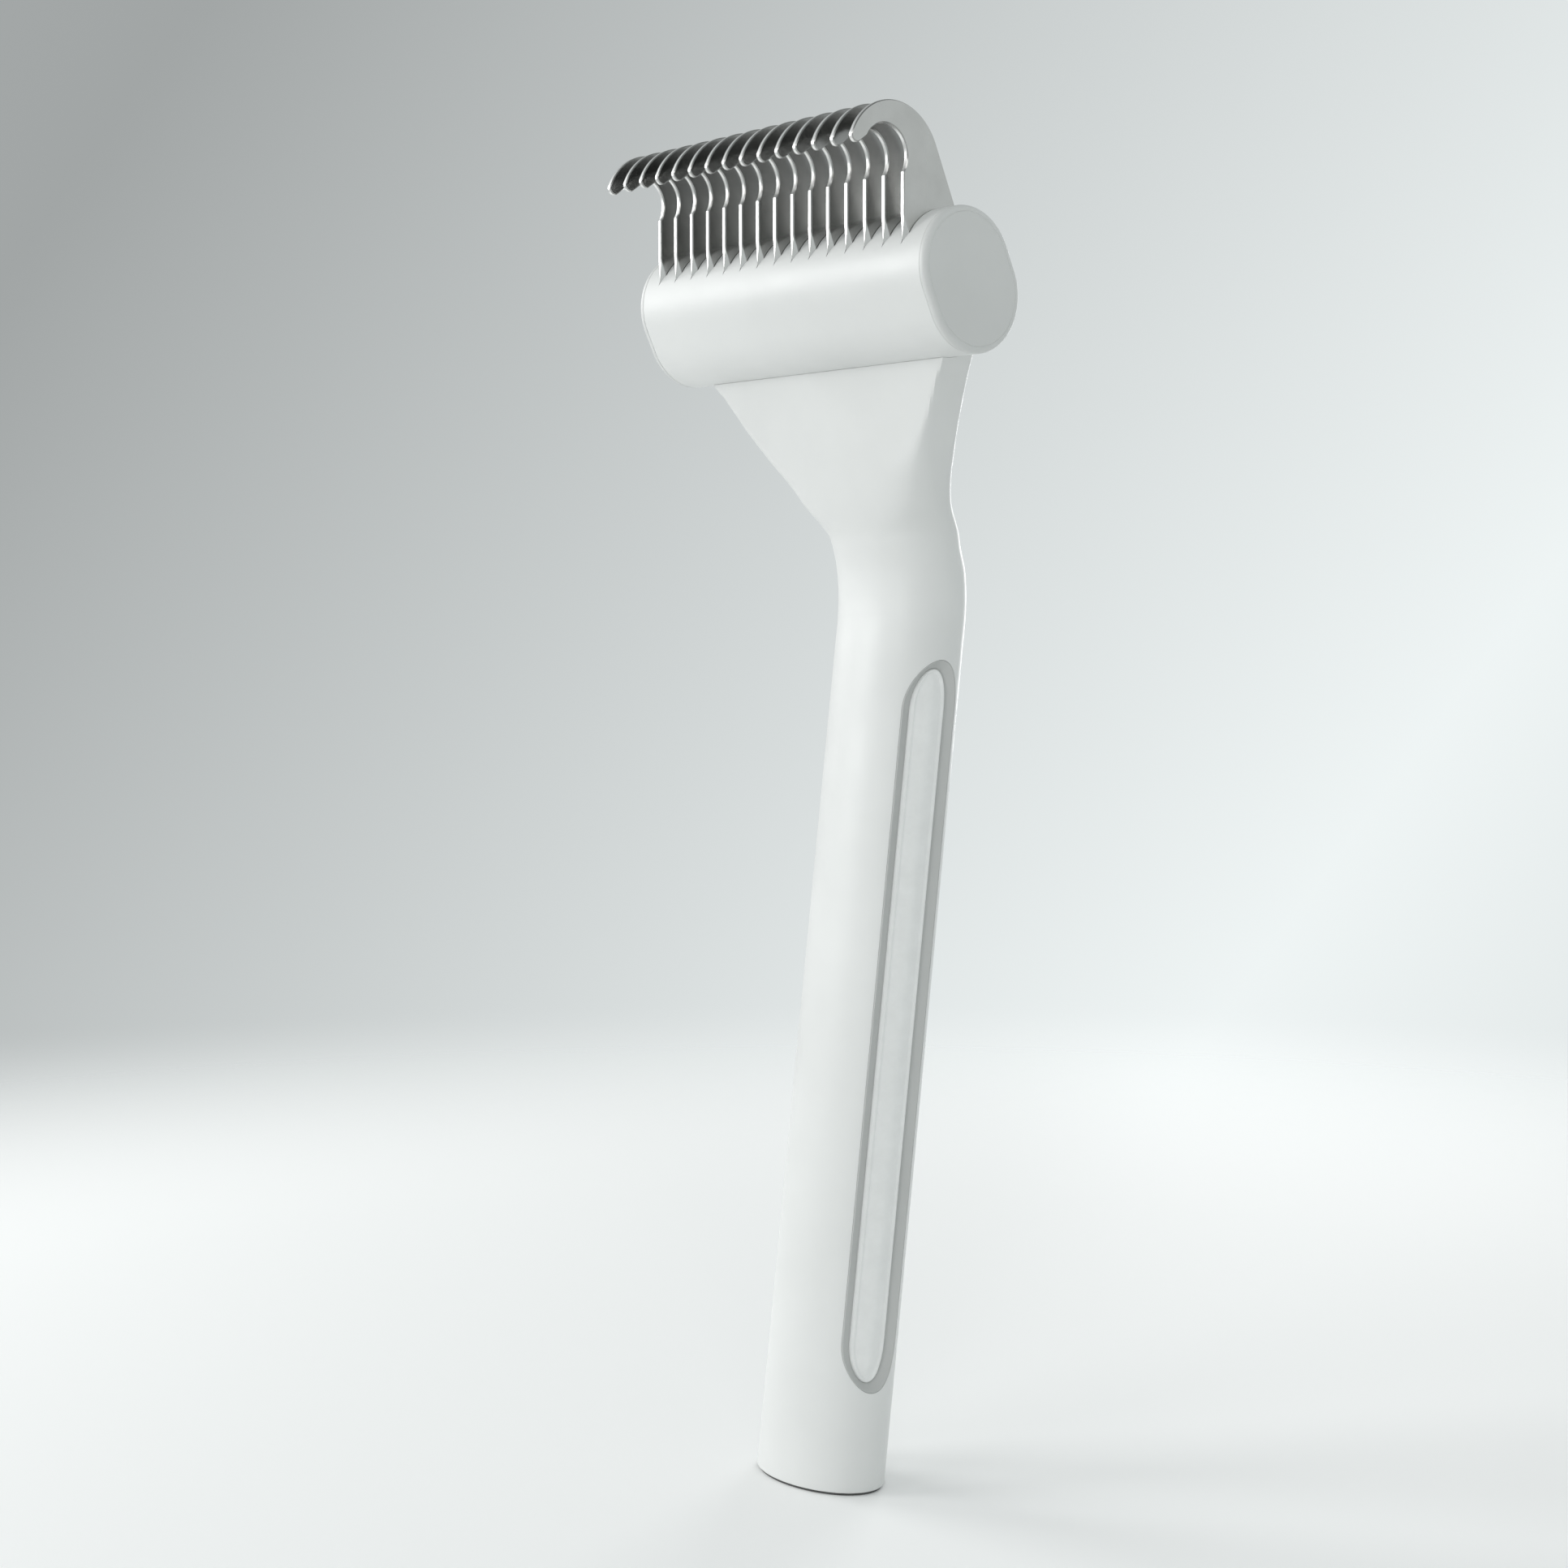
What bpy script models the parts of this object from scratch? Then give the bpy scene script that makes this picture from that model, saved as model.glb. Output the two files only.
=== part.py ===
"""Dematting comb: an upright oval handle, a fanned neck and a barrel head that holds fifteen hooked blades.

Sizes are in millimetres and become metres when a mesh is made. +Z is up, +X runs along the barrel, and
-Y is the side that the hooks point to. The origin is the middle of the foot, on the surface under it.
"""

import math

import bmesh
import bpy
from mathutils import Matrix, Vector

MM = 0.001
FIT = 0.1  # clearance between neighbouring pieces

# Handle: an upright oval bar that leans back, hollow from the foot
HANDLE_WIDTH = 22.7
HANDLE_DEPTH = 14.06
HANDLE_HEIGHT = 124.0
HANDLE_LEAN = math.radians(7.27)
HANDLE_WALL = 3.4
HANDLE_SIDES = 56
CAVITY_END = 8.0  # solid length left at the top of the handle
CAVITY_ROUND = 3.5
EDGE_ROUND = 0.6

# Foot: a nylon plug with an anti-slip pad under it
FOOT_PAD_THICKNESS = 0.25
FOOT_PAD_INSET = 0.3
FOOT_PLUG_LENGTH = 12.0
FOOT_PLUG_TAPER = 1.0

# Grip panel in each side of the handle: a sloping bezel round a soft pad
PANEL_BOTTOM = 14.3
PANEL_TOP_MARGIN = 6.1  # below the top of the handle
PANEL_HALF_WIDTH = 3.6
PANEL_OFFSETS = {"left": 1.66, "right": -1.66}  # of a panel's middle behind the handle's middle plane
PANEL_END = 7.0
PANEL_ARC_STEPS = 10
POCKET_DEPTH = 2.4
GLUE_LAYER = 0.3  # room for the adhesive under the bezel and the pad
BEZEL_WIDTH = 1.2
PAD_RECESS = 1.5

# Barrel: a stadium tube along X, closed by two end caps
BARREL_LENGTH = 60.6
BARREL_RADIUS = 8.25
BARREL_HALF_FLAT = 1.63
BARREL_TILT = math.radians(26.1)
BARREL_HEIGHT = 168.47
BARREL_WALL = 1.8
BARREL_ARC_STEPS = 16
CAP_THICKNESS = 1.0
CAP_ROUND = 0.5
CAP_ROUND_STEPS = 3
CAP_LIP_DEPTH = 1.7
CAP_LIP_WALL = 0.9

# Neck: fans out from the handle to the barrel, with a flat front
NECK_TOP_WIDTH = 48.2
NECK_ENTRY_HEIGHT = 4.54  # how far below the barrel's middle the neck's top lies
NECK_FRONT_DEPTH = 6.0
NECK_BACK_DEPTH = 3.8
NECK_ENTRY_BACK = 3.2  # how far behind the barrel's middle the neck's middle meets it
FACET_LEAN = math.radians(16.4)
FACET_FRONT = 0.4  # how far behind the barrel's middle the flat front meets the barrel
FACET_SHARE = 1.5  # length of the block that cuts the flat front, over the free height of the neck
NECK_RINGS = 20

# Blades
BLADE_COUNT = 15
BLADE_PITCH = 3.677
BLADE_THICKNESS = 0.75
STEM_FRONT = -8.65
GULLET_RADIUS = 3.83
GULLET_FORWARD = 11.88
GULLET_RISE = 15.73  # gullet's middle above the barrel's middle
HOOK_RADIUS = 8.27
HOOK_FORWARD = 10.25
HOOK_RISE = 14.48
BACK_LEAN = math.radians(25.3)
TIP_RADIUS = 0.9
TIP_TURN = math.radians(157)
STEM_LEDGE_RISE = 2.5  # above the barrel's middle, where a stem's front edge ends
ROOT_HALF_HEIGHT = 4.2
ROOT_CORNER = 2.0
ROOT_SHOULDER = 1.0
SLOT_BACK_GAP = 0.5
SLOT_DEPTH_AT_LEDGE = 3.0

# Blade pack: the blades and spacers are threaded on two rods
ROD_DIAMETER = 2.0
ROD_HALF_SPACING = 2.9
ROD_END_MARGIN = 0.4  # between a rod's end and the end cap
ROD_CHAMFER = 0.2
NUT_ACROSS_FLATS = 4.0
NUT_HEIGHT = 1.3
SPACER_RADIUS = 2.1

# Screws that hold the barrel on the neck
SCREW_DIAMETER = 2.2
SCREW_LENGTH = 10.0
SCREW_HEAD_DIAMETER = 4.2
SCREW_HEAD_HEIGHT = 1.4
SCREW_HEAD_CROWN = 0.6
SCREW_POINT = 1.5
SCREW_SEAT = 7.0  # distance of the head's underside from the barrel's middle
SCREW_SPACING = 24.0
ROUND_SIDES = 16
HOLE_SIDES = 10

# Worked out from the values above
HALF_WIDTH = HANDLE_WIDTH / 2
HALF_DEPTH = HANDLE_DEPTH / 2
LEAN = math.tan(HANDLE_LEAN)
HANDLE_BOTTOM = FOOT_PAD_THICKNESS + FIT
PANEL_TOP = HANDLE_HEIGHT - PANEL_TOP_MARGIN
BARREL_MIDDLE = Vector((0, 0, BARREL_HEIGHT))
TUBE_LENGTH = BARREL_LENGTH - 2 * (CAP_THICKNESS + FIT)
NECK_TOP = BARREL_HEIGHT - NECK_ENTRY_HEIGHT
FAR = 200.0  # past everything, for the cutters
SIDES = (("left", -1), ("right", 1))

WHITE = ("white_plastic", (0.86, 0.87, 0.86), 0.42, 0.0)
PAD_GREY = ("pad_grey", (0.60, 0.61, 0.60), 0.62, 0.0)
BEZEL_GREY = ("bezel_grey", (0.42, 0.43, 0.42), 0.55, 0.0)
FOOT_GREY = ("foot_rubber", (0.10, 0.10, 0.10), 0.80, 0.0)
NYLON = ("nylon", (0.75, 0.74, 0.70), 0.50, 0.0)
BLADE_STEEL = ("blade_steel", (0.62, 0.62, 0.60), 0.24, 1.0)
FASTENER_STEEL = ("fastener_steel", (0.50, 0.50, 0.50), 0.35, 1.0)


def clear_scene():
    for obj in list(bpy.data.objects):
        bpy.data.objects.remove(obj, do_unlink=True)


def new_collection(name):
    collection = bpy.data.collections.new(name)
    bpy.context.scene.collection.children.link(collection)
    return collection


def material(spec):
    name, colour, roughness, metallic = spec
    found = bpy.data.materials.get(name)
    if found:
        return found
    made = bpy.data.materials.new(name)
    made.use_nodes = True
    shader = made.node_tree.nodes["Principled BSDF"]
    shader.inputs["Base Color"].default_value = (*colour, 1)
    shader.inputs["Roughness"].default_value = roughness
    shader.inputs["Metallic"].default_value = metallic
    made.diffuse_color = (*colour, 1)
    return made


def add_part(name, mesh, finish, smooth_angle=32):
    mesh.materials.clear()
    mesh.materials.append(material(finish))
    mesh.shade_smooth()
    mesh.set_sharp_from_angle(angle=math.radians(smooth_angle))
    obj = bpy.data.objects.new(name, mesh)
    PARTS.objects.link(obj)
    return obj


def add_cutter(name, mesh):
    obj = bpy.data.objects.new(name, mesh)
    CUTTERS.objects.link(obj)
    obj.hide_render = True
    obj.display_type = "WIRE"
    return obj


def boolean(obj, cutter, operation="DIFFERENCE"):
    modifier = obj.modifiers.new(f"{operation.lower()}_{cutter.name}", "BOOLEAN")
    modifier.operation = operation
    modifier.solver = "EXACT"
    modifier.object = cutter
    return modifier


def round_edges(obj, width, segments=3, angle=35):
    modifier = obj.modifiers.new("rounded_edges", "BEVEL")
    modifier.width = width * MM
    modifier.segments = segments
    modifier.limit_method = "ANGLE"
    modifier.angle_limit = math.radians(angle)
    return modifier


def loft(name, rings, closed=False):
    """A mesh through rings of equally many points; closed joins the last ring to the first."""
    bm = bmesh.new()
    loops = [[bm.verts.new(Vector(point) * MM) for point in ring] for ring in rings]
    pairs = list(zip(loops, loops[1:]))
    if closed:
        pairs.append((loops[-1], loops[0]))
    for low, high in pairs:
        for i in range(len(low)):
            j = (i + 1) % len(low)
            bm.faces.new((low[i], low[j], high[j], high[i]))
    if not closed:
        bm.faces.new(list(reversed(loops[0])))
        bm.faces.new(loops[-1])
    bmesh.ops.recalc_face_normals(bm, faces=bm.faces)
    mesh = bpy.data.meshes.new(name)
    bm.to_mesh(mesh)
    bm.free()
    return mesh


def box(name, size, centre, tilt=0.0):
    """A box whose faces are turned by tilt about X."""
    bm = bmesh.new()
    bmesh.ops.create_cube(bm, size=1)
    turn = Matrix.Rotation(tilt, 4, "X")
    place = Matrix.Translation(Vector(centre) * MM) @ turn @ Matrix.Diagonal((*(Vector(size) * MM), 1))
    bmesh.ops.transform(bm, matrix=place, verts=bm.verts)
    mesh = bpy.data.meshes.new(name)
    bm.to_mesh(mesh)
    bm.free()
    return mesh


def plate(name, outlines, thickness):
    """A flat plate in the YZ plane, centred on X = 0: the first outline is its rim, the others are holes."""
    curve = bpy.data.curves.new(name, "CURVE")
    curve.dimensions = "2D"
    curve.fill_mode = "BOTH"
    curve.extrude = thickness / 2 * MM
    for outline in outlines:
        spline = curve.splines.new("POLY")
        spline.points.add(len(outline) - 1)
        for point, (y, z) in zip(spline.points, outline):
            point.co = (y * MM, z * MM, 0, 1)
        spline.use_cyclic_u = True
    holder = bpy.data.objects.new(name + "_curve", curve)
    CUTTERS.objects.link(holder)
    graph = bpy.context.evaluated_depsgraph_get()
    mesh = bpy.data.meshes.new_from_object(holder.evaluated_get(graph))
    bpy.data.objects.remove(holder, do_unlink=True)
    bm = bmesh.new()
    bm.from_mesh(mesh)
    bmesh.ops.remove_doubles(bm, verts=bm.verts, dist=1e-7)
    upright = Matrix(((0, 0, 1, 0), (1, 0, 0, 0), (0, 1, 0, 0), (0, 0, 0, 1)))
    bmesh.ops.transform(bm, matrix=upright, verts=bm.verts)
    bmesh.ops.recalc_face_normals(bm, faces=bm.faces)
    bm.to_mesh(mesh)
    bm.free()
    return mesh


def arc(centre, radius, start, end, steps):
    """Points of an arc in the YZ plane, from the angle start to the angle end, both ends included."""
    angles = (start + (end - start) * i / steps for i in range(steps + 1))
    return [(centre[0] + radius * math.cos(a), centre[1] + radius * math.sin(a)) for a in angles]


def circle(centre, radius, sides=ROUND_SIDES):
    return arc(centre, radius, 0, math.tau, sides)[:-1]


# Handle and neck


def signed_power(value, power):
    return math.copysign(abs(value) ** power, value)


def oval(z, half_width, middle, front_depth, back_depth, squareness=2.0):
    """A level ring at height z: an ellipse when squareness is 2, and a rounded rectangle as it grows."""
    points = []
    for i in range(HANDLE_SIDES):
        angle = math.tau * i / HANDLE_SIDES
        x = half_width * signed_power(math.cos(angle), 2 / squareness)
        depth = back_depth if math.sin(angle) > 0 else front_depth
        points.append((x, middle + depth * signed_power(math.sin(angle), 2 / squareness), z))
    return points


def handle_ring(z, inset=0.0, shift=0.0):
    ring = oval(z, HALF_WIDTH - inset, LEAN * z, HALF_DEPTH - inset, HALF_DEPTH - inset)
    return [(x + shift, y, z) for x, y, z in ring]


# Stations up the neck: height share, widening share, share of the way forward, thinning share, squareness
NECK_STATIONS = (
    (0.00, 0.00, 0.00, 0.00, 2.0),
    (0.08, 0.00, -0.01, 0.00, 2.0),
    (0.17, 0.00, 0.01, 0.02, 2.0),
    (0.25, 0.00, 0.07, 0.10, 2.0),
    (0.31, 0.04, 0.13, 0.21, 2.0),
    (0.40, 0.15, 0.345, 0.37, 2.2),
    (0.50, 0.275, 0.505, 0.49, 2.8),
    (0.60, 0.45, 0.67, 0.58, 4.0),
    (0.70, 0.655, 0.815, 0.675, 5.0),
    (0.80, 0.855, 0.925, 0.785, 6.0),
    (0.87, 1.035, 1.01, 0.86, 6.0),
    (1.00, 1.365, 1.14, 1.00, 6.0),
)


def station_at(share):
    """The neck's station values at a share of its height, on a smooth curve through the stations."""
    last = len(NECK_STATIONS) - 1
    k = max(i for i in range(last) if NECK_STATIONS[i][0] <= share)
    before, low, high, after = (NECK_STATIONS[min(max(k + i, 0), last)] for i in (-1, 0, 1, 2))
    span = high[0] - low[0]
    t = (share - low[0]) / span
    values = []
    for j in range(1, len(low)):
        slope_low = (high[j] - before[j]) / (high[0] - before[0]) * span
        slope_high = (after[j] - low[j]) / (after[0] - low[0]) * span
        values.append(
            (2 * t**3 - 3 * t**2 + 1) * low[j]
            + (t**3 - 2 * t**2 + t) * slope_low
            + (3 * t**2 - 2 * t**3) * high[j]
            + (t**3 - t**2) * slope_high
        )
    return values


def neck_ring(share):
    widening, forward, thinning, squareness = station_at(share)
    z = HANDLE_HEIGHT + (NECK_TOP - HANDLE_HEIGHT) * share
    start = LEAN * HANDLE_HEIGHT
    middle = start + (NECK_ENTRY_BACK - start) * forward
    half_width = HALF_WIDTH + (NECK_TOP_WIDTH / 2 - HALF_WIDTH) * widening
    blend = min(max(forward, 0), 1)
    front = HALF_DEPTH + (NECK_FRONT_DEPTH - HALF_DEPTH) * blend
    back = HALF_DEPTH + (NECK_BACK_DEPTH - HALF_DEPTH) * thinning
    return oval(z, half_width, middle, front, back, max(squareness, 2.0))


def facet_cutter():
    """A block whose back face is the flat front of the neck."""
    meet = Vector((0, FACET_FRONT, BARREL_HEIGHT - BARREL_RADIUS - BARREL_HALF_FLAT))
    out = Vector((0, -math.cos(FACET_LEAN), -math.sin(FACET_LEAN)))
    height = FACET_SHARE * (BARREL_HEIGHT - BARREL_RADIUS - HANDLE_HEIGHT)
    thickness = FAR / 2
    block = box("facet_cutter", (FAR, thickness, height), meet + out * thickness / 2, FACET_LEAN)
    return add_cutter("facet_cutter", block)


def stadium(radius):
    """The barrel's outline in the YZ plane for an outer or inner radius."""
    turn = math.pi / 2 + BARREL_TILT
    along = (math.cos(turn) * BARREL_HALF_FLAT, math.sin(turn) * BARREL_HALF_FLAT)
    top = (along[0], BARREL_HEIGHT + along[1])
    bottom = (-along[0], BARREL_HEIGHT - along[1])
    upper = arc(top, radius, BARREL_TILT, BARREL_TILT + math.pi, BARREL_ARC_STEPS)
    lower = arc(bottom, radius, BARREL_TILT + math.pi, BARREL_TILT + math.tau, BARREL_ARC_STEPS)
    return upper + lower


def stadium_ring(x, radius):
    return [(x, y, z) for y, z in stadium(radius)]


def solid_bar(name, half_length, radius):
    return loft(name, [stadium_ring(-half_length, radius), stadium_ring(half_length, radius)])


def screw_rings(x, radii_and_depths):
    """Rings round a neck screw's axis, at distances from the barrel's middle down the neck."""
    down = Vector((0, math.sin(FACET_LEAN), -math.cos(FACET_LEAN)))
    side = Vector((0, math.cos(FACET_LEAN), math.sin(FACET_LEAN)))
    rings = []
    for radius, depth in radii_and_depths:
        ring = []
        for i in range(ROUND_SIDES):
            angle = math.tau * i / ROUND_SIDES
            offset = Vector((1, 0, 0)) * math.cos(angle) + side * math.sin(angle)
            ring.append(Vector((x, 0, 0)) + BARREL_MIDDLE + down * depth + offset * radius)
        rings.append(ring)
    return rings


def screw_places():
    return [(side, direction * SCREW_SPACING / 2) for side, direction in SIDES]


def handle_body():
    rings = [handle_ring(HANDLE_BOTTOM)]
    rings += [neck_ring(i / NECK_RINGS) for i in range(NECK_RINGS + 1)]
    body = add_part("handle_body", loft("handle_body", rings), WHITE)
    boolean(body, facet_cutter())
    round_edges(body, EDGE_ROUND)
    top = HANDLE_HEIGHT - CAVITY_END
    cavity = [
        handle_ring(-FOOT_PLUG_LENGTH, HANDLE_WALL),
        handle_ring(top - CAVITY_ROUND, HANDLE_WALL),
        handle_ring(top, HANDLE_WALL + CAVITY_ROUND / 2),
    ]
    boolean(body, add_cutter("cavity_cutter", loft("cavity_cutter", cavity)))
    saddle = solid_bar("saddle_cutter", BARREL_LENGTH, BARREL_RADIUS + FIT)
    boolean(body, add_cutter("saddle_cutter", saddle))
    pilot = SCREW_DIAMETER / 2 + FIT
    for side, x in screw_places():
        name = f"pilot_cutter_{side}"
        profile = ((pilot, 0), (pilot, SCREW_SEAT + SCREW_LENGTH + FIT))
        boolean(body, add_cutter(name, loft(name, screw_rings(x, profile))))
    for side, direction in SIDES:
        boolean(body, pocket_cutter(side, direction))
    return body


def neck_screws():
    for side, x in screw_places():
        shank = SCREW_DIAMETER / 2
        head = SCREW_HEAD_DIAMETER / 2
        profile = (
            (head - SCREW_HEAD_CROWN, SCREW_SEAT - SCREW_HEAD_HEIGHT),
            (head, SCREW_SEAT - SCREW_HEAD_HEIGHT + SCREW_HEAD_CROWN),
            (head, SCREW_SEAT),
            (shank, SCREW_SEAT),
            (shank, SCREW_SEAT + SCREW_LENGTH - SCREW_POINT),
            (shank / 4, SCREW_SEAT + SCREW_LENGTH),
        )
        name = f"neck_screw_{side}"
        add_part(name, loft(name, screw_rings(x, profile)), FASTENER_STEEL)


def foot():
    plug_inset = HANDLE_WALL + FIT
    plug = [
        handle_ring(HANDLE_BOTTOM, plug_inset),
        handle_ring(HANDLE_BOTTOM + FOOT_PLUG_LENGTH - FOOT_PLUG_TAPER, plug_inset),
        handle_ring(HANDLE_BOTTOM + FOOT_PLUG_LENGTH, plug_inset + FOOT_PLUG_TAPER),
    ]
    add_part("foot_plug", loft("foot_plug", plug), NYLON)
    pad = [handle_ring(0, FOOT_PAD_INSET), handle_ring(FOOT_PAD_THICKNESS, FOOT_PAD_INSET)]
    add_part("foot_pad", loft("foot_pad", pad), FOOT_GREY)


# Grip panels


def panel_outline(side, inset):
    """(distance behind the handle's middle plane, height) round a panel, inset all the way."""
    half_width = PANEL_HALF_WIDTH - inset
    end = PANEL_END - inset
    outline = []
    for level, start in ((PANEL_TOP - PANEL_END, 0.0), (PANEL_BOTTOM + PANEL_END, math.pi)):
        for i in range(PANEL_ARC_STEPS + 1):
            angle = start + math.pi * i / PANEL_ARC_STEPS
            offset = PANEL_OFFSETS[side] + half_width * math.cos(angle)
            outline.append((offset, level + end * math.sin(angle)))
    return outline


def surface_x(offset, depth):
    """The handle's half width at a distance from its middle plane, less a depth along X."""
    return HALF_WIDTH * math.sqrt(max(1 - (offset / HALF_DEPTH) ** 2, 0)) - depth


def surface_ring(side, direction, inset, depth):
    return [(direction * surface_x(o, depth), o + LEAN * z, z) for o, z in panel_outline(side, inset)]


def panel_prism(name, side, direction, inset):
    """The panel's outline run along X, from inside the handle to well outside it."""
    outline = panel_outline(side, inset)
    ends = (direction * HALF_WIDTH / 4, direction * 2 * HALF_WIDTH)
    return loft(name, [[(x, o + LEAN * z, z) for o, z in outline] for x in ends])


def handle_core(name, direction, depth):
    """The handle's oval bar moved inwards along X by depth, to shape what follows its surface."""
    shift = -direction * depth
    return add_cutter(name, loft(name, [handle_ring(-FAR, 0, shift), handle_ring(FAR, 0, shift)]))


def pocket_cutter(side, direction):
    name = f"pocket_cutter_{side}"
    cutter = add_cutter(name, panel_prism(name, side, direction, -FIT))
    boolean(cutter, handle_core(f"pocket_floor_{side}", direction, POCKET_DEPTH))
    return cutter


def grip_panels():
    bottom = POCKET_DEPTH - GLUE_LAYER
    profile = ((0, 0), (BEZEL_WIDTH, PAD_RECESS), (BEZEL_WIDTH, bottom), (0, bottom))
    for side, direction in SIDES:
        rings = [surface_ring(side, direction, inset, depth) for inset, depth in profile]
        add_part(f"grip_bezel_{side}", loft("grip_bezel", rings, closed=True), BEZEL_GREY)
        pad_mesh = panel_prism("grip_pad", side, direction, BEZEL_WIDTH + FIT)
        pad = add_part(f"grip_pad_{side}", pad_mesh, PAD_GREY)
        boolean(pad, handle_core(f"pad_face_{side}", direction, PAD_RECESS), "INTERSECT")
        boolean(pad, handle_core(f"pad_floor_{side}", direction, bottom))


# Barrel


def rear_block(name, gap):
    """A block that takes in all of the barrel behind the blades' back edges, less a gap."""
    out = Vector((0, math.cos(BACK_LEAN), math.sin(BACK_LEAN)))
    start = out.dot(Vector((0, *hook_tangent())))
    centre = out * (start + gap + FAR / 2) + BARREL_MIDDLE - out * out.dot(BARREL_MIDDLE)
    return add_cutter(name, box(name, (FAR, FAR, FAR), centre, BACK_LEAN))


def barrel_tube(name):
    half = TUBE_LENGTH / 2
    inner = BARREL_RADIUS - BARREL_WALL
    rings = [
        stadium_ring(-half, BARREL_RADIUS),
        stadium_ring(half, BARREL_RADIUS),
        stadium_ring(half, inner),
        stadium_ring(-half, inner),
    ]
    return loft(name, rings, closed=True)


def slot_cutter():
    """One mesh with a separate block for each blade's stem."""
    ledge = stem_ledge() - FIT
    front = STEM_FRONT - FIT
    above = BARREL_HEIGHT + 2 * BARREL_RADIUS
    outline = [
        (front, ledge),
        (front, above),
        (back_edge_y(above) + SLOT_BACK_GAP, above),
        (back_edge_y(BARREL_HEIGHT) + SLOT_BACK_GAP, BARREL_HEIGHT),
        (back_edge_y(BARREL_HEIGHT) - SLOT_DEPTH_AT_LEDGE, BARREL_HEIGHT),
    ]
    single = plate("slot", [outline], BLADE_THICKNESS + 2 * FIT)
    bm = bmesh.new()
    for x in blade_places():
        start = len(bm.verts)
        bm.from_mesh(single)
        bm.verts.ensure_lookup_table()
        bmesh.ops.translate(bm, vec=(x * MM, 0, 0), verts=bm.verts[start:])
    mesh = bpy.data.meshes.new("slot_cutter")
    bm.to_mesh(mesh)
    bm.free()
    return add_cutter("slot_cutter", mesh)


def barrel():
    front = add_part("barrel_front_shell", barrel_tube("barrel_front_shell"), WHITE)
    boolean(front, rear_block("front_split_cutter", 0))
    boolean(front, slot_cutter())
    shank = SCREW_DIAMETER / 2 + FIT
    head = SCREW_HEAD_DIAMETER / 2 + FIT
    seat = SCREW_SEAT + FIT
    for side, x in screw_places():
        name = f"screw_seat_cutter_{side}"
        rings = screw_rings(x, ((head, 0), (head, seat), (shank, seat), (shank, 2 * BARREL_RADIUS)))
        boolean(front, add_cutter(name, loft(name, rings)))
    cover = add_part("barrel_rear_cover", barrel_tube("barrel_rear_cover"), WHITE)
    boolean(cover, rear_block("cover_split_cutter", FIT), "INTERSECT")


def end_caps():
    face = BARREL_LENGTH / 2
    flange = face - CAP_THICKNESS
    lip = flange - CAP_LIP_DEPTH
    lip_outer = BARREL_RADIUS - BARREL_WALL - FIT
    lip_inner = lip_outer - CAP_LIP_WALL
    profile = arc((face - CAP_ROUND, BARREL_RADIUS - CAP_ROUND), CAP_ROUND, 0, math.pi / 2, CAP_ROUND_STEPS)
    profile += [(flange, BARREL_RADIUS), (flange, lip_outer), (lip, lip_outer)]
    profile += [(lip, lip_inner), (flange, lip_inner)]
    for side, direction in SIDES:
        rings = [stadium_ring(direction * x, radius) for x, radius in profile]
        add_part(f"end_cap_{side}", loft("end_cap", rings), WHITE)


# Blades


def blade_places():
    return [(i - (BLADE_COUNT - 1) / 2) * BLADE_PITCH for i in range(BLADE_COUNT)]


def hook_centre():
    return (-HOOK_FORWARD, BARREL_HEIGHT + HOOK_RISE)


def hook_tangent():
    """Where the hook's outer arc runs into the straight back edge."""
    y, z = hook_centre()
    return (y + HOOK_RADIUS * math.cos(BACK_LEAN), z + HOOK_RADIUS * math.sin(BACK_LEAN))


def back_edge_y(z):
    y, start = hook_tangent()
    return y + (start - z) * math.tan(BACK_LEAN)


def stem_ledge():
    """The height in the barrel's wall where a stem's front edge ends."""
    return BARREL_HEIGHT + STEM_LEDGE_RISE


def blade_outline():
    gullet = (-GULLET_FORWARD, BARREL_HEIGHT + GULLET_RISE)
    notch = -math.acos((STEM_FRONT - gullet[0]) / GULLET_RADIUS)
    hook = hook_centre()
    reach = HOOK_RADIUS - TIP_RADIUS
    tip = (hook[0] + reach * math.cos(TIP_TURN), hook[1] + reach * math.sin(TIP_TURN))
    ledge = stem_ledge()
    low = BARREL_HEIGHT - ROOT_HALF_HEIGHT
    shoulder = BARREL_HEIGHT - ROOT_SHOULDER
    half = ROD_HALF_SPACING + SPACER_RADIUS
    outline = arc(gullet, GULLET_RADIUS, notch, math.radians(152), 16)
    outline += arc(tip, TIP_RADIUS, math.radians(-55), math.radians(-203), 6)
    outline += arc(hook, HOOK_RADIUS, math.radians(150), BACK_LEAN, 14)
    outline += [
        (min(back_edge_y(BARREL_HEIGHT + ROOT_SHOULDER), half), BARREL_HEIGHT + ROOT_SHOULDER),
        (half, shoulder),
        (half - ROOT_CORNER, low),
        (ROOT_CORNER - half, low),
        (-half, shoulder),
        (-half, ledge),
        (STEM_FRONT, ledge),
    ]
    return outline


def rod_centres():
    return (("front", (-ROD_HALF_SPACING, BARREL_HEIGHT)), ("rear", (ROD_HALF_SPACING, BARREL_HEIGHT)))


def rod_holes():
    return [circle(centre, ROD_DIAMETER / 2 + FIT, HOLE_SIDES) for _, centre in rod_centres()]


def blades():
    mesh = plate("blade", [blade_outline()] + rod_holes(), BLADE_THICKNESS)
    for number, x in enumerate(blade_places(), 1):
        add_part(f"blade_{number:02d}", mesh, BLADE_STEEL).location.x = x * MM


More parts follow.
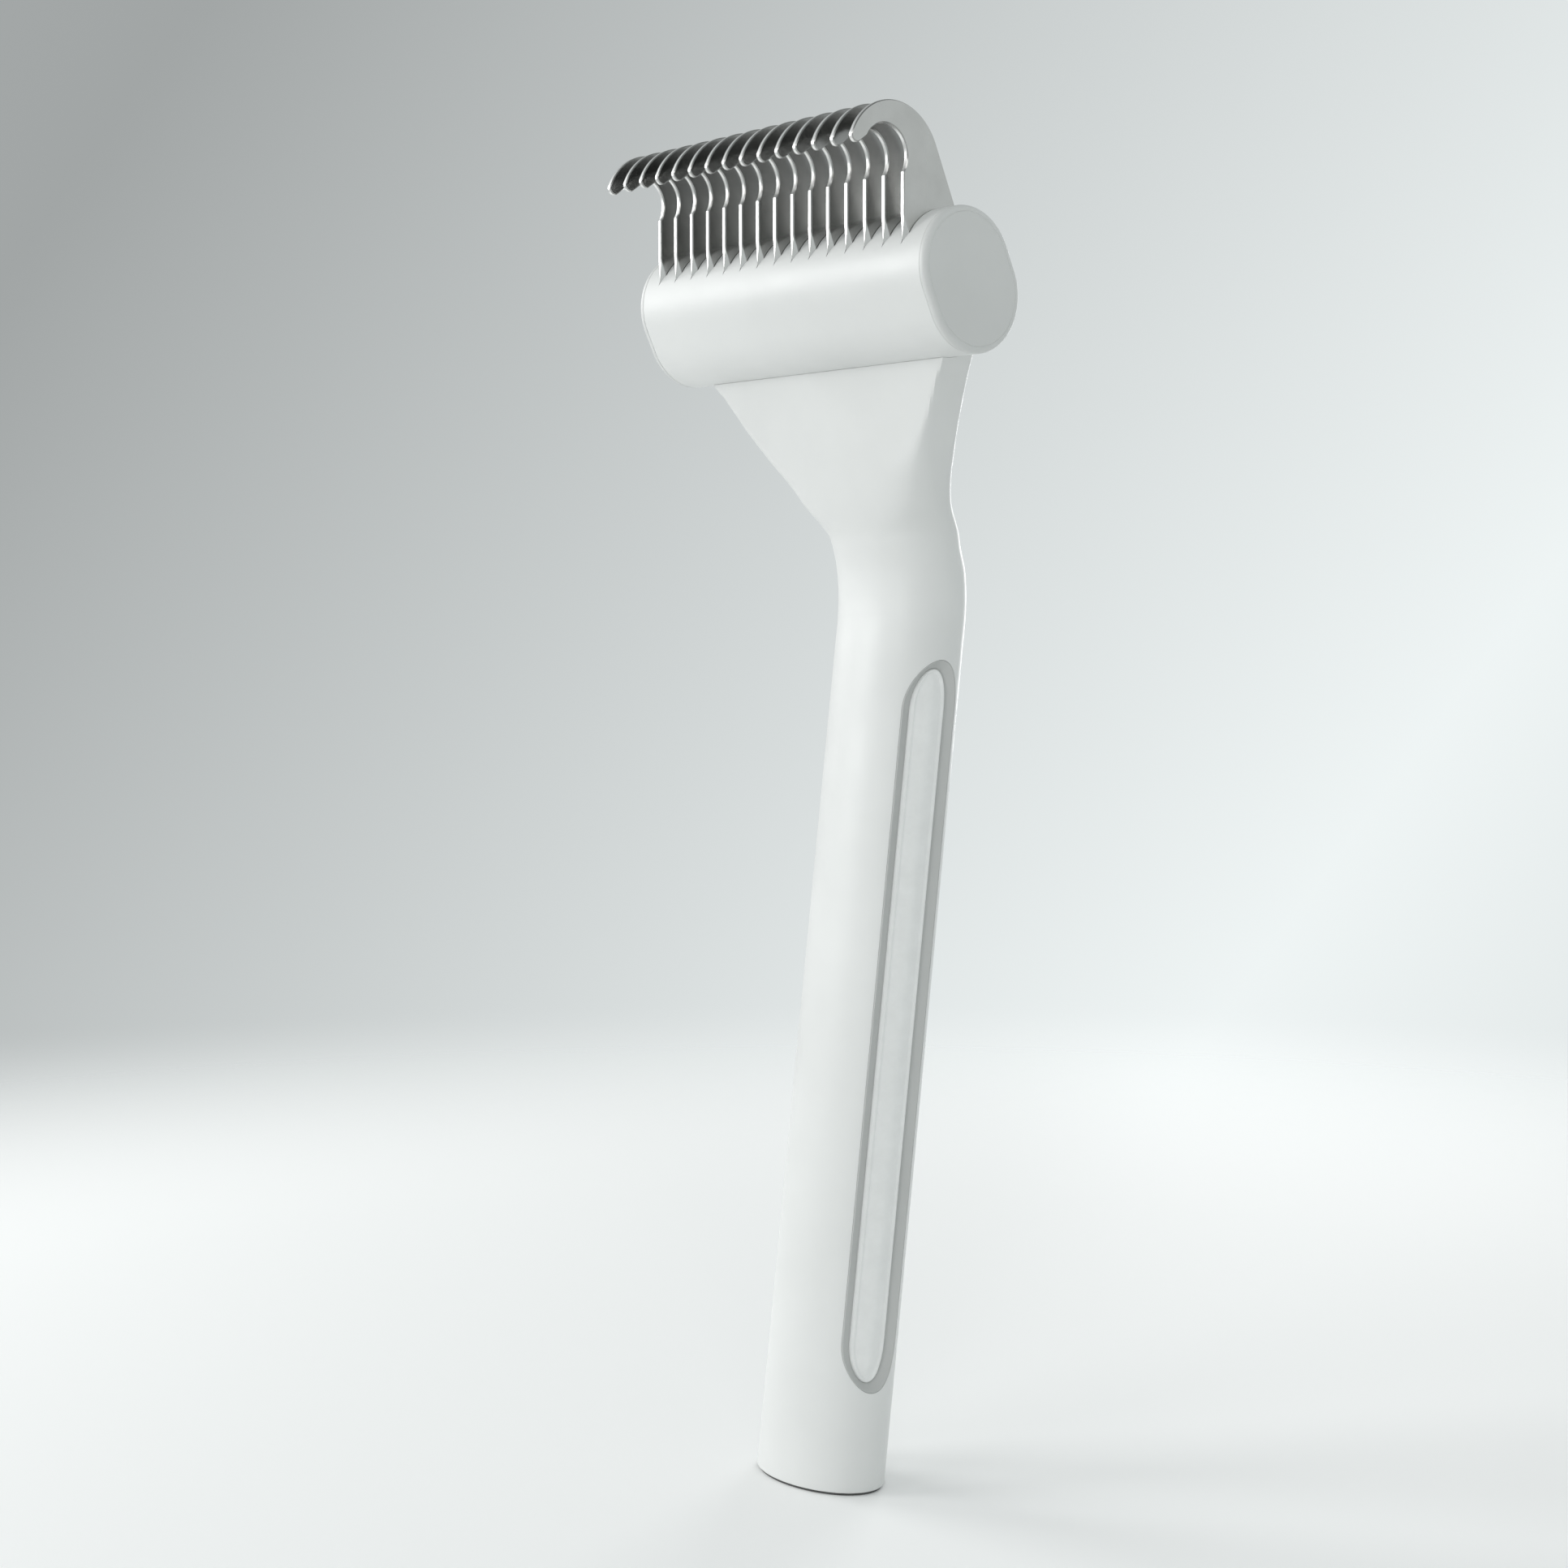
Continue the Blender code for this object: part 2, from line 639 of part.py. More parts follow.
def spacers():
    quarter = math.pi / 2
    rear = arc((ROD_HALF_SPACING, BARREL_HEIGHT), SPACER_RADIUS, -quarter, quarter, 7)
    front = arc((-ROD_HALF_SPACING, BARREL_HEIGHT), SPACER_RADIUS, quarter, 3 * quarter, 7)
    mesh = plate("spacer", [rear + front] + rod_holes(), BLADE_PITCH - BLADE_THICKNESS - 2 * FIT)
    places = blade_places()
    for number, (left, right) in enumerate(zip(places, places[1:]), 1):
        add_part(f"spacer_{number:02d}", mesh, NYLON).location.x = (left + right) / 2 * MM


def tie_rods():
    half = BARREL_LENGTH / 2 - CAP_THICKNESS - ROD_END_MARGIN
    radius = ROD_DIAMETER / 2
    chamfered = ((half, radius - ROD_CHAMFER), (half - ROD_CHAMFER, radius))
    profile = [(-x, r) for x, r in chamfered] + [(x, r) for x, r in reversed(chamfered)]
    for side, centre in rod_centres():
        rings = [[(x, y, z) for y, z in circle(centre, r)] for x, r in profile]
        add_part(f"tie_rod_{side}", loft("tie_rod", rings), FASTENER_STEEL)


def nut_outline(centre):
    """A hexagon with a point halfway along each side as well, to match a hole of twelve sides."""
    corners = circle(centre, NUT_ACROSS_FLATS / math.sqrt(3), 6)
    outline = []
    for a, b in zip(corners, corners[1:] + corners[:1]):
        outline += [a, ((a[0] + b[0]) / 2, (a[1] + b[1]) / 2)]
    return outline


def rod_nuts():
    near = (BLADE_COUNT - 1) / 2 * BLADE_PITCH + BLADE_THICKNESS / 2 + FIT
    far = near + NUT_HEIGHT
    for side, centre in rod_centres():
        rim = nut_outline(centre)
        hole = circle(centre, ROD_DIAMETER / 2 + FIT, len(rim))
        sections = ((near, rim), (far, rim), (far, hole), (near, hole))
        for end, direction in SIDES:
            rings = [[(direction * x, y, z) for y, z in outline] for x, outline in sections]
            add_part(f"rod_nut_{side}_{end}", loft("rod_nut", rings, closed=True), FASTENER_STEEL)


clear_scene()
PARTS = new_collection("dematting_comb")
CUTTERS = new_collection("cutters")
CUTTERS.hide_render = True
handle_body()
neck_screws()
foot()
grip_panels()
barrel()
end_caps()
blades()
spacers()
tie_rods()
rod_nuts()
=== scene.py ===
"""Looks of the dematting comb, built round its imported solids.

Lengths are in millimetres and become metres when a mesh is made. +Z is up, +X runs along the barrel and
-Y is the side that the blade hooks point to. The sections below make the materials, then the handle, the
grip panels, the barrel, the blades and the foot, and last the floor, the lights and the camera.
"""

import math

import bmesh
import bpy
import numpy as np
from mathutils import Matrix, Vector

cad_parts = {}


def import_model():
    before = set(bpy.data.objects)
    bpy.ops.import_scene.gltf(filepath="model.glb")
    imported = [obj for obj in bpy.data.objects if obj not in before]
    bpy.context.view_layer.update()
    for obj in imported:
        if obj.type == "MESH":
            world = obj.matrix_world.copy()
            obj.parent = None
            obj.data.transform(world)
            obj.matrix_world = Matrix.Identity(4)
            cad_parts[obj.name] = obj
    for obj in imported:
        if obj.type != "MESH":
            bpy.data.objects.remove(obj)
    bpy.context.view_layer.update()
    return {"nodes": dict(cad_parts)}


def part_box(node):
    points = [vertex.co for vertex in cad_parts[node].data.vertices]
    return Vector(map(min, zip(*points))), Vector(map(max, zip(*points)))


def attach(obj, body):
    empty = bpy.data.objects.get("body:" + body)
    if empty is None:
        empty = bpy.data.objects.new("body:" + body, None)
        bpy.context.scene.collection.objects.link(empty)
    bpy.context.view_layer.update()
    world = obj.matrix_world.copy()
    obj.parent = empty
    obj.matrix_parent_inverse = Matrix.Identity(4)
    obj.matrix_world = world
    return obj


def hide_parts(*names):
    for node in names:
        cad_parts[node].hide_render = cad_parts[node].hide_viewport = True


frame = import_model()

MM = 0.001
FAR = 200.0
SEAM = 0.03  # what is left open between two visible pieces that touch
SIDES = (("left", -1), ("right", 1))


def node_box(node):
    """Lowest and highest corner of a CAD node, in millimetres."""
    low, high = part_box(node)
    return low / MM, high / MM


# Sizes that follow the frame
HANDLE_LOW, _ = node_box("handle_body")
CAP_LOW, CAP_HIGH = node_box("end_cap_right")
PANEL_LOW, PANEL_HIGH = node_box("grip_bezel_right")
BLADES = sorted(name for name in frame["nodes"] if name.startswith("blade_"))
BARREL_LENGTH = 2 * CAP_HIGH.x
BARREL_HEIGHT = (CAP_LOW.z + CAP_HIGH.z) / 2

# Handle
HALF_WIDTH = 11.35
HALF_DEPTH = 7.03
HANDLE_TOP = 124.0
LEAN = math.tan(math.radians(7.27))
HANDLE_WALL = 3.4
CAVITY_TOP = 116.0
CAVITY_BOTTOM = -10.0  # below the foot, so that the cutter passes right through it
FOOT_ROUND = 0.25
FOOT_ROUND_STEPS = 5
HANDLE_RINGS = 40
SECTION_POINTS = 224
SECTION_SAMPLES = 2400  # along an outline before its points are spaced evenly
OVAL = 2.0  # the squareness of a true oval

# Neck
NECK_TOP = BARREL_HEIGHT - 4.54
NECK_TOP_WIDTH = 48.2
NECK_FRONT_DEPTH = 6.0
NECK_BACK_DEPTH = 3.8
NECK_ENTRY_BACK = 3.2
NECK_RINGS = 96
FACET_FRONT = 0.4
FACET_SLOPE = math.tan(math.radians(16.4))
FACET_START = 139.5  # the flat front is flat above this height
FACET_RUNOUT = 14.0  # how gently it curves away below
FACET_SOFTEST = 2.0  # how far the crease is rounded at the bottom of the flat front
FACET_CRISPEST = 0.9  # and at its top
# Stations up the neck: height share, widening share, share of the way forward, thinning share, squareness
NECK_STATIONS = (
    (0.00, 0.00, 0.00, 0.00, 2.0),
    (0.08, 0.00, -0.01, 0.00, 2.0),
    (0.17, 0.00, 0.01, 0.02, 2.0),
    (0.25, 0.00, 0.07, 0.10, 2.0),
    (0.31, 0.04, 0.13, 0.21, 2.0),
    (0.40, 0.15, 0.345, 0.37, 2.2),
    (0.50, 0.275, 0.505, 0.49, 2.8),
    (0.60, 0.45, 0.67, 0.58, 4.0),
    (0.70, 0.655, 0.815, 0.675, 5.0),
    (0.80, 0.855, 0.925, 0.785, 6.0),
    (0.87, 1.035, 1.01, 0.86, 6.0),
    (1.00, 1.365, 1.14, 1.00, 6.0),
)

# Barrel
BARREL_RADIUS = 8.25
BARREL_HALF_FLAT = 1.63
BARREL_TILT = math.radians(26.1)
BARREL_WALL = 1.8
BARREL_ARC_STEPS = 56
BARREL_CHAMFER = 0.06
CAP_THICKNESS = 1.0
CAP_ROUND = 0.7
CAP_ROUND_STEPS = 12
CAP_RIM = 0.85  # the raised rim round the disc
CAP_RECESS = 0.05
CAP_GROOVE = 0.08
CAP_LIP_LENGTH = 1.7
CAP_LIP_WALL = 0.9
# The groove inside the rim: depth below the end face, distance out from the rim's inner edge
CAP_GROOVE_PROFILE = (
    (CAP_RECESS, -0.14),
    (CAP_RECESS + 0.03, -0.11),
    (CAP_GROOVE, -0.08),
    (CAP_GROOVE, -0.02),
    (0.05, 0.01),
    (0.01, 0.04),
)

# Foot pad
FOOT_PAD_INSET = 0.35  # from the handle's outline
FOOT_PAD_CHAMFER = 0.08

# Blades
BLADE_THICKNESS = 0.75
BLADE_EDGE = 0.14
RIM_FACING = 0.2  # rim faces turned less than this towards X are ground, the rest polished
OUTER_FACING = 0.99  # faces turned at least this much out of the pack are the end blades' outer faces, which take the lighter steel as painted light
GROUND_SLOT, PAINTED_LIGHT_SLOT = 1, 2
GULLET = (-11.88, BARREL_HEIGHT + 15.73)  # the middle of the hook's inner curve
GULLET_RADIUS = 3.83
GULLET_END = math.radians(152)
HOOK = (-10.25, BARREL_HEIGHT + 14.48)  # the middle of its outer curve
HOOK_RADIUS = 8.27
HOOK_START = math.radians(150)
HOOK_STEPS = 48
TIP_RADIUS = 0.9
TIP_WAY = math.radians(157)  # from the hook's middle to the tip's
TIP_START, TIP_END = math.radians(-55), math.radians(-203)
TIP_STEPS = 14
BACK_LEAN = math.radians(25.3)
# Where the hook runs into the straight back edge
BACK_TOP = (HOOK[0] + HOOK_RADIUS * math.cos(BACK_LEAN), HOOK[1] + HOOK_RADIUS * math.sin(BACK_LEAN))
BLADE_FOOT_HALF = 5.0
BLADE_FOOT_CORNER = 2.0
BLADE_FOOT_RISE = 2.5
BLADE_FOOT_DROP = 4.2
ROD_OFFSET = 2.9
ROD_HOLE_RADIUS = 1.1
ROD_HOLE_SIDES = 20
STEM_FRONT = -8.65
SLOT_GAP = 0.12
SLOT_BOTTOM = 2.4  # above the barrel's middle
SLOT_BACK_GAP = 0.3
SLOT_REACH = 3.0
SLOT_SLANT = 0.6  # how much further back the slot begins at the right side of a stem than at its left
STEM_FOOT_FRONT = -8.345  # the stem's front edge slopes back to here where it enters the barrel
SLOPE_TOP = 176.6  # the slope, and the grinding of the stem's right front corner, begin at this height
SLOPE_BOTTOM = 173.07
CHISEL_DEPTH = 1.05  # of the ground corner along Y at its bottom

# Grip panels
PANEL_BOTTOM = PANEL_LOW.z
PANEL_TOP = PANEL_HIGH.z
PANEL_HALF_WIDTH = 3.6
PANEL_OFFSETS = {"left": 1.66, "right": -1.66}
PANEL_END = 7.0
PANEL_ARC_STEPS = 40
PANEL_SIDE_STEPS = 24
POCKET_DEPTH = 2.4
BEZEL_WIDTH = 1.2
BEZEL_EDGE = ((0, 0.10), (0.03, 0.03), (0.10, 0.05))  # its rounded outer edge: inset, depth
BEZEL_SLOPE_START = 0.20
BEZEL_SLOPE_END = 0.3  # before its inner edge
PAD_RECESS = 1.5
PAD_CROWN = 0.15
PAD_STEPS = 12
# The bead along the pad's edge: distance from the edge, rise above the recess
PAD_BEAD = (
    (0.0, 0.02),
    (0.02, 0.12),
    (0.08, 0.22),
    (0.18, 0.27),
    (0.30, 0.26),
    (0.42, 0.17),
    (0.52, 0.06),
    (0.62, 0.01),
    (0.75, 0.0),
)

# Floor, lights and camera, in metres
FLOOR_RADIUS = 1.2
FLOOR_FADE = (0.20, 0.50)  # where the floor starts to fade and where it has gone
# The backdrop's brightness from one end of the gradient's run to the other
BACKDROP_RUN = (0.5363, 0.6167, -0.5769)
BACKDROP_STOPS = ((0.0, 0.46), (0.345, 0.38), (0.61, 0.91), (0.75, 0.70), (0.98, 0.50))
# The studio's softboxes: name, the way to it to the right, away and up, and its power
SOFTBOXES = (
    ("left", (-1.0, 0.0, 0.3), 1.9),
    ("left_back", (-0.8, 0.6, 0.4), 1.7),
    ("left_front", (-0.8, -0.6, 0.15), 0.8),
    ("front", (0.0, -1.0, 0.7), 0.5),
    ("right_back", (0.35, 0.95, 0.15), 1.4),
)
SOFTBOX_SIZE = 0.3
SOFTBOX_DISTANCE = 0.75
STUDIO_RIGHT = Vector((0.65618, 0.75461, 0))
STUDIO_AWAY = Vector((-0.75461, 0.65618, 0))
STUDIO_AIM = Vector((0, 0.01, 0.10))
CAMERA_PLACE = (0.2719, -0.2433, 0.1198)
CAMERA_TILT = math.radians(90 - 3.07)  # level, less a dip of 3.07 degrees
CAMERA_TURN = math.radians(48.99)
CAMERA_LENS = 58.7


# Materials

SINK_DEPTH = 0.00002  # metres
PAINTED_HOOK_SHADE_HEIGHTS = (0.1785, 0.1870)  # metres: painted shade darkens the steel's colour from the first height to the second, over the hooks
ROLLED = (1, 0.12, 0.02)  # how streaks are drawn out along X, Y and Z
TURNED = (0.05, 1, 1)
FILED = (1, 0.3, 0.3)


def principled(name, colour, roughness, metallic=0.0):
    """A new material, its node tree and its shader, with the even values set on the shader's own sockets."""
    made = bpy.data.materials.new(name)
    made.use_nodes = True
    tree = made.node_tree
    shader = tree.nodes["Principled BSDF"]
    shader.inputs["Base Color"].default_value = (*colour, 1)
    shader.inputs["Roughness"].default_value = roughness
    shader.inputs["Metallic"].default_value = metallic
    return made, tree, shader


def object_coordinates(tree, stretch=(1, 1, 1)):
    place = tree.nodes.new("ShaderNodeTexCoord")
    mapping = tree.nodes.new("ShaderNodeMapping")
    mapping.inputs["Scale"].default_value = stretch
    tree.links.new(place.outputs["Object"], mapping.inputs["Vector"])
    return mapping.outputs["Vector"]


def noise(tree, vector, scale, detail=3.0, roughness=0.5):
    node = tree.nodes.new("ShaderNodeTexNoise")
    node.inputs["Scale"].default_value = scale
    node.inputs["Detail"].default_value = detail
    node.inputs["Roughness"].default_value = roughness
    tree.links.new(vector, node.inputs["Vector"])
    return node.outputs["Fac"]


def remap(tree, value, low, high, start=0.3, end=0.7):
    node = tree.nodes.new("ShaderNodeMapRange")
    node.inputs["From Min"].default_value = start
    node.inputs["From Max"].default_value = end
    node.inputs["To Min"].default_value = low
    node.inputs["To Max"].default_value = high
    tree.links.new(value, node.inputs["Value"])
    return node.outputs["Result"]


def tint(tree, value, dark, light, start=0.3, end=0.7):
    """A colour that runs from dark to light as the value rises."""
    ramp = tree.nodes.new("ShaderNodeValToRGB")
    ramp.color_ramp.elements[0].position = start
    ramp.color_ramp.elements[0].color = (*dark, 1)
    ramp.color_ramp.elements[1].position = end
    ramp.color_ramp.elements[1].color = (*light, 1)
    tree.links.new(value, ramp.inputs["Fac"])
    return ramp.outputs["Color"]


def bump(tree, shader, layers):
    """Bump from (height, depth in metres) layers, each on top of the one before."""
    normal = None
    for height, depth in layers:
        node = tree.nodes.new("ShaderNodeBump")
        node.inputs["Distance"].default_value = depth
        tree.links.new(height, node.inputs["Height"])
        if normal:
            tree.links.new(normal, node.inputs["Normal"])
        normal = node.outputs["Normal"]
    tree.links.new(normal, shader.inputs["Normal"])


def moulded_plastic(name, dark, light, roughness, grain):
    """Moulded plastic: spark-eroded grain, slow sink marks, and patches that handling has polished."""
    made, tree, shader = principled(name, light, roughness[0])
    place = object_coordinates(tree)
    clouds = noise(tree, place, scale=45, detail=4)
    fine = noise(tree, place, scale=5200, detail=2)
    handled = noise(tree, place, scale=140, detail=5, roughness=0.6)
    tree.links.new(tint(tree, clouds, dark, light), shader.inputs["Base Color"])
    tree.links.new(remap(tree, handled, *roughness), shader.inputs["Roughness"])
    sink = noise(tree, place, scale=60, detail=1)
    bump(tree, shader, [(sink, SINK_DEPTH), (fine, grain)])
    return made


def soft_rubber(name, dark, light, roughness, grain):
    """Soft-touch rubber: a pebbled grain over a faint mottling, polished in patches by handling."""
    made, tree, shader = principled(name, light, roughness[0])
    shader.inputs["Sheen Weight"].default_value = 0.12
    shader.inputs["Sheen Roughness"].default_value = 0.5
    place = object_coordinates(tree)
    cells = tree.nodes.new("ShaderNodeTexVoronoi")
    cells.feature = "SMOOTH_F1"
    cells.inputs["Scale"].default_value = 2600
    tree.links.new(place, cells.inputs["Vector"])
    handled = noise(tree, place, scale=90, detail=4)
    fine = noise(tree, place, scale=6000, detail=2)
    mottle = noise(tree, place, scale=380, detail=5, roughness=0.65)
    tree.links.new(tint(tree, mottle, dark, light), shader.inputs["Base Color"])
    tree.links.new(remap(tree, handled, *roughness), shader.inputs["Roughness"])
    bump(tree, shader, [(cells.outputs["Distance"], grain), (fine, grain / 3)])
    return made


def blade_steel(name, dark, light, roughness, stretch, streaks, painted_hook_shade=1.0):
    """Polished strip steel: rolling streaks along the blade, faint stains, a fine grain, and painted shade
    that darkens the hooks.
    """
    made, tree, shader = principled(name, light, roughness[0], 1.0)
    place = object_coordinates(tree)
    along = object_coordinates(tree, stretch)
    lines = noise(tree, along, scale=900, detail=4, roughness=0.6)
    stains = noise(tree, place, scale=160, detail=5, roughness=0.6)
    fine = noise(tree, place, scale=4200, detail=2)
    colour = tint(tree, stains, dark, light)
    # Painted shade: with a factor below 1 the colour darkens with height, over the hooks.
    if painted_hook_shade < 1:
        height = tree.nodes.new("ShaderNodeSeparateXYZ")
        tree.links.new(place, height.inputs["Vector"])
        shade = remap(tree, height.outputs["Z"], 1, painted_hook_shade, *PAINTED_HOOK_SHADE_HEIGHTS)
        scale = tree.nodes.new("ShaderNodeVectorMath")
        scale.operation = "SCALE"
        tree.links.new(colour, scale.inputs[0])
        tree.links.new(shade, scale.inputs["Scale"])
        colour = scale.outputs["Vector"]
    tree.links.new(colour, shader.inputs["Base Color"])
    tree.links.new(remap(tree, lines, *roughness), shader.inputs["Roughness"])
    bump(tree, shader, [(lines, streaks), (fine, streaks / 2)])
    return made


WHITE = moulded_plastic("white_plastic", (0.69, 0.70, 0.69), (0.74, 0.75, 0.74), (0.36, 0.46), 0.0000012)
# The caps are the body's white plastic painted a little darker: painted shade for the end faces, which turn
# away from the key light.
CAP_WHITE_PAINTED_SHADE = moulded_plastic("cap_plastic_painted_shade", (0.62, 0.63, 0.62), (0.67, 0.68, 0.67), (0.40, 0.50), 0.0000016)
BEZEL = moulded_plastic("bezel_plastic", (0.48, 0.49, 0.48), (0.53, 0.54, 0.53), (0.42, 0.55), 0.000003)
NYLON = moulded_plastic("nylon", (0.60, 0.59, 0.55), (0.69, 0.68, 0.64), (0.45, 0.58), 0.000003)
PAD = soft_rubber("pad_rubber", (0.80, 0.81, 0.80), (0.85, 0.86, 0.85), (0.50, 0.64), 0.000006)
# The foot pad is near black: it makes the thin dark line along the bottom edge of the foot.
FOOT = soft_rubber("foot_rubber", (0.05, 0.05, 0.05), (0.10, 0.10, 0.10), (0.65, 0.85), 0.00001)
# Its last value is painted shade: the hooks' colour is scaled down to 0.68.
STEEL = blade_steel(
    "blade_steel", (0.51, 0.51, 0.50), (0.56, 0.56, 0.55), (0.15, 0.23), ROLLED, 0.0000006, 0.68
)
# The end blades' outer faces get a lighter, rougher copy of the blade steel: painted light on the faces open
# to the lamps, against the shaded faces between the blades.
PAINTED_LIGHT_STEEL = blade_steel(
    "brushed_steel", (0.62, 0.62, 0.605), (0.70, 0.70, 0.685), (0.24, 0.34), ROLLED, 0.0000008
)
GROUND = blade_steel(
    "ground_edge", (0.80, 0.80, 0.79), (0.90, 0.90, 0.89), (0.34, 0.46), FILED, 0.0000012
)
FASTENER = blade_steel(
    "fastener_steel", (0.42, 0.42, 0.42), (0.52, 0.52, 0.52), (0.28, 0.42), TURNED, 0.000002
)


# Mesh helpers


def add_piece(name, mesh, finish, nodes, smooth_angle=30):
    """A visible piece on the root body that takes the place of the named CAD nodes."""
    mesh.materials.clear()
    mesh.materials.append(finish)
    mesh.shade_smooth()
    mesh.set_sharp_from_angle(angle=math.radians(smooth_angle))
    piece = bpy.data.objects.new(name, mesh)
    bpy.context.scene.collection.objects.link(piece)
    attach(piece, "root")
    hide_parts(*nodes)
    return piece


def add_cutter(name, mesh):
    cutter = bpy.data.objects.new(name, mesh)
    bpy.context.scene.collection.objects.link(cutter)
    cutter.hide_render = True
    cutter.display_type = "WIRE"
    return cutter


def cut(mesh, cutters, finish_name, operation="DIFFERENCE"):
    """The mesh after each cutter has been taken from it, as a new mesh."""
    body = bpy.data.objects.new(finish_name, mesh)
    bpy.context.scene.collection.objects.link(body)
    for cutter in cutters:
        modifier = body.modifiers.new(cutter.name, "BOOLEAN")
        modifier.operation = operation
        modifier.solver = "EXACT"
        modifier.object = cutter
    graph = bpy.context.evaluated_depsgraph_get()
    result = bpy.data.meshes.new_from_object(body.evaluated_get(graph))
    bpy.data.objects.remove(body, do_unlink=True)
    for cutter in cutters:
        bpy.data.objects.remove(cutter, do_unlink=True)
    result.name = finish_name
    return result


def loft(name, rings, closed=False):
    """A mesh through rings of equally many points; closed joins the last ring to the first."""
    bm = bmesh.new()
    loops = [[bm.verts.new(Vector(point) * MM) for point in ring] for ring in rings]
    pairs = list(zip(loops, loops[1:]))
    if closed:
        pairs.append((loops[-1], loops[0]))
    for low, high in pairs:
        for i in range(len(low)):
            j = (i + 1) % len(low)
            bm.faces.new((low[i], low[j], high[j], high[i]))
    if not closed:
        bm.faces.new(list(reversed(loops[0])))
        bm.faces.new(loops[-1])
    bmesh.ops.recalc_face_normals(bm, faces=bm.faces)
    mesh = bpy.data.meshes.new(name)
    bm.to_mesh(mesh)
    bm.free()
    return mesh


def box(name, size, centre, tilt=0.0):
    bm = bmesh.new()
    bmesh.ops.create_cube(bm, size=1)
    turn = Matrix.Rotation(tilt, 4, "X")
    place = Matrix.Translation(Vector(centre) * MM) @ turn @ Matrix.Diagonal((*(Vector(size) * MM), 1))
    bmesh.ops.transform(bm, matrix=place, verts=bm.verts)
    mesh = bpy.data.meshes.new(name)
    bm.to_mesh(mesh)
    bm.free()
    return mesh


def arc(centre, radius, start, end, steps):
    """Points of an arc in a plane, from the angle start to the angle end, both ends included."""
    angles = (start + (end - start) * i / steps for i in range(steps + 1))
    return [(centre[0] + radius * math.cos(a), centre[1] + radius * math.sin(a)) for a in angles]


# Handle and neck


def smooth_max(a, b, softness):
    overlap = np.maximum(softness - np.abs(a - b), 0) / softness
    return np.maximum(a, b) + overlap**2 * softness / 4


def facet_y(z):
    """The flat front's place at a height. Below its start it curves forward, clear of the handle."""
    top = BARREL_HEIGHT - BARREL_RADIUS - BARREL_HALF_FLAT
    plane = FACET_FRONT + FACET_SLOPE * (top - z)
    return plane - max(FACET_START - z, 0) ** 2 / FACET_RUNOUT


def facet_softness(z):
    share = min(max((z - FACET_START) / (NECK_TOP - FACET_START), 0), 1)
    return FACET_CRISPEST + (FACET_SOFTEST - FACET_CRISPEST) * (1 - share) ** 2


def section(z, half_width, middle, front, back, squareness):
    """A level ring at height z, spaced evenly along its outline, with the flat front pressed in."""
    angle = np.linspace(0, math.tau, SECTION_SAMPLES, endpoint=False) + math.pi / 2
    power = 2 / squareness
    x = half_width * np.sign(np.cos(angle)) * np.abs(np.cos(angle)) ** power
    depth = np.where(np.sin(angle) > 0, back, front)
    y = middle + depth * np.sign(np.sin(angle)) * np.abs(np.sin(angle)) ** power
    y = smooth_max(y, facet_y(z), facet_softness(z))
    outline = np.column_stack([x, y])
    outline = np.vstack([outline, outline[:1]])
    run = np.concatenate([[0], np.cumsum(np.linalg.norm(np.diff(outline, axis=0), axis=1))])
    even = np.linspace(0, run[-1], SECTION_POINTS, endpoint=False)
    return [(np.interp(s, run, outline[:, 0]), np.interp(s, run, outline[:, 1]), z) for s in even]


def handle_ring(z, inset=0.0):
    width, depth = HALF_WIDTH - inset, HALF_DEPTH - inset
    return section(z, width, LEAN * z, depth, depth, OVAL)


def station_at(share):
    """The neck's station values at a share of its height, on a smooth curve through the stations."""
    last = len(NECK_STATIONS) - 1
    k = max(i for i in range(last) if NECK_STATIONS[i][0] <= share)
    before, low, high, after = (NECK_STATIONS[min(max(k + i, 0), last)] for i in (-1, 0, 1, 2))
    span = high[0] - low[0]
    t = (share - low[0]) / span
    values = []
    for j in range(1, len(low)):
        slope_low = (high[j] - before[j]) / (high[0] - before[0]) * span
        slope_high = (after[j] - low[j]) / (after[0] - low[0]) * span
        values.append(
            (2 * t**3 - 3 * t**2 + 1) * low[j]
            + (t**3 - 2 * t**2 + t) * slope_low
            + (3 * t**2 - 2 * t**3) * high[j]
            + (t**3 - t**2) * slope_high
        )
    return values


def neck_ring(share):
    widening, forward, thinning, squareness = station_at(share)
    start = LEAN * HANDLE_TOP
    middle = start + (NECK_ENTRY_BACK - start) * forward
    half_width = HALF_WIDTH + (NECK_TOP_WIDTH / 2 - HALF_WIDTH) * widening
    blend = min(max(forward, 0), 1)
    front = HALF_DEPTH + (NECK_FRONT_DEPTH - HALF_DEPTH) * blend
    back = HALF_DEPTH + (NECK_BACK_DEPTH - HALF_DEPTH) * thinning
    z = HANDLE_TOP + (NECK_TOP - HANDLE_TOP) * share
    return section(z, half_width, middle, front, back, max(squareness, OVAL))


def stadium(radius):
    """The barrel's outline in the YZ plane for an outer or inner radius."""
    turn = math.pi / 2 + BARREL_TILT
    along = (math.cos(turn) * BARREL_HALF_FLAT, math.sin(turn) * BARREL_HALF_FLAT)
    top = (along[0], BARREL_HEIGHT + along[1])
    bottom = (-along[0], BARREL_HEIGHT - along[1])
    upper = arc(top, radius, BARREL_TILT, BARREL_TILT + math.pi, BARREL_ARC_STEPS)
    lower = arc(bottom, radius, BARREL_TILT + math.pi, BARREL_TILT + math.tau, BARREL_ARC_STEPS)
    return upper + lower


def stadium_ring(x, radius):
    return [(x, y, z) for y, z in stadium(radius)]


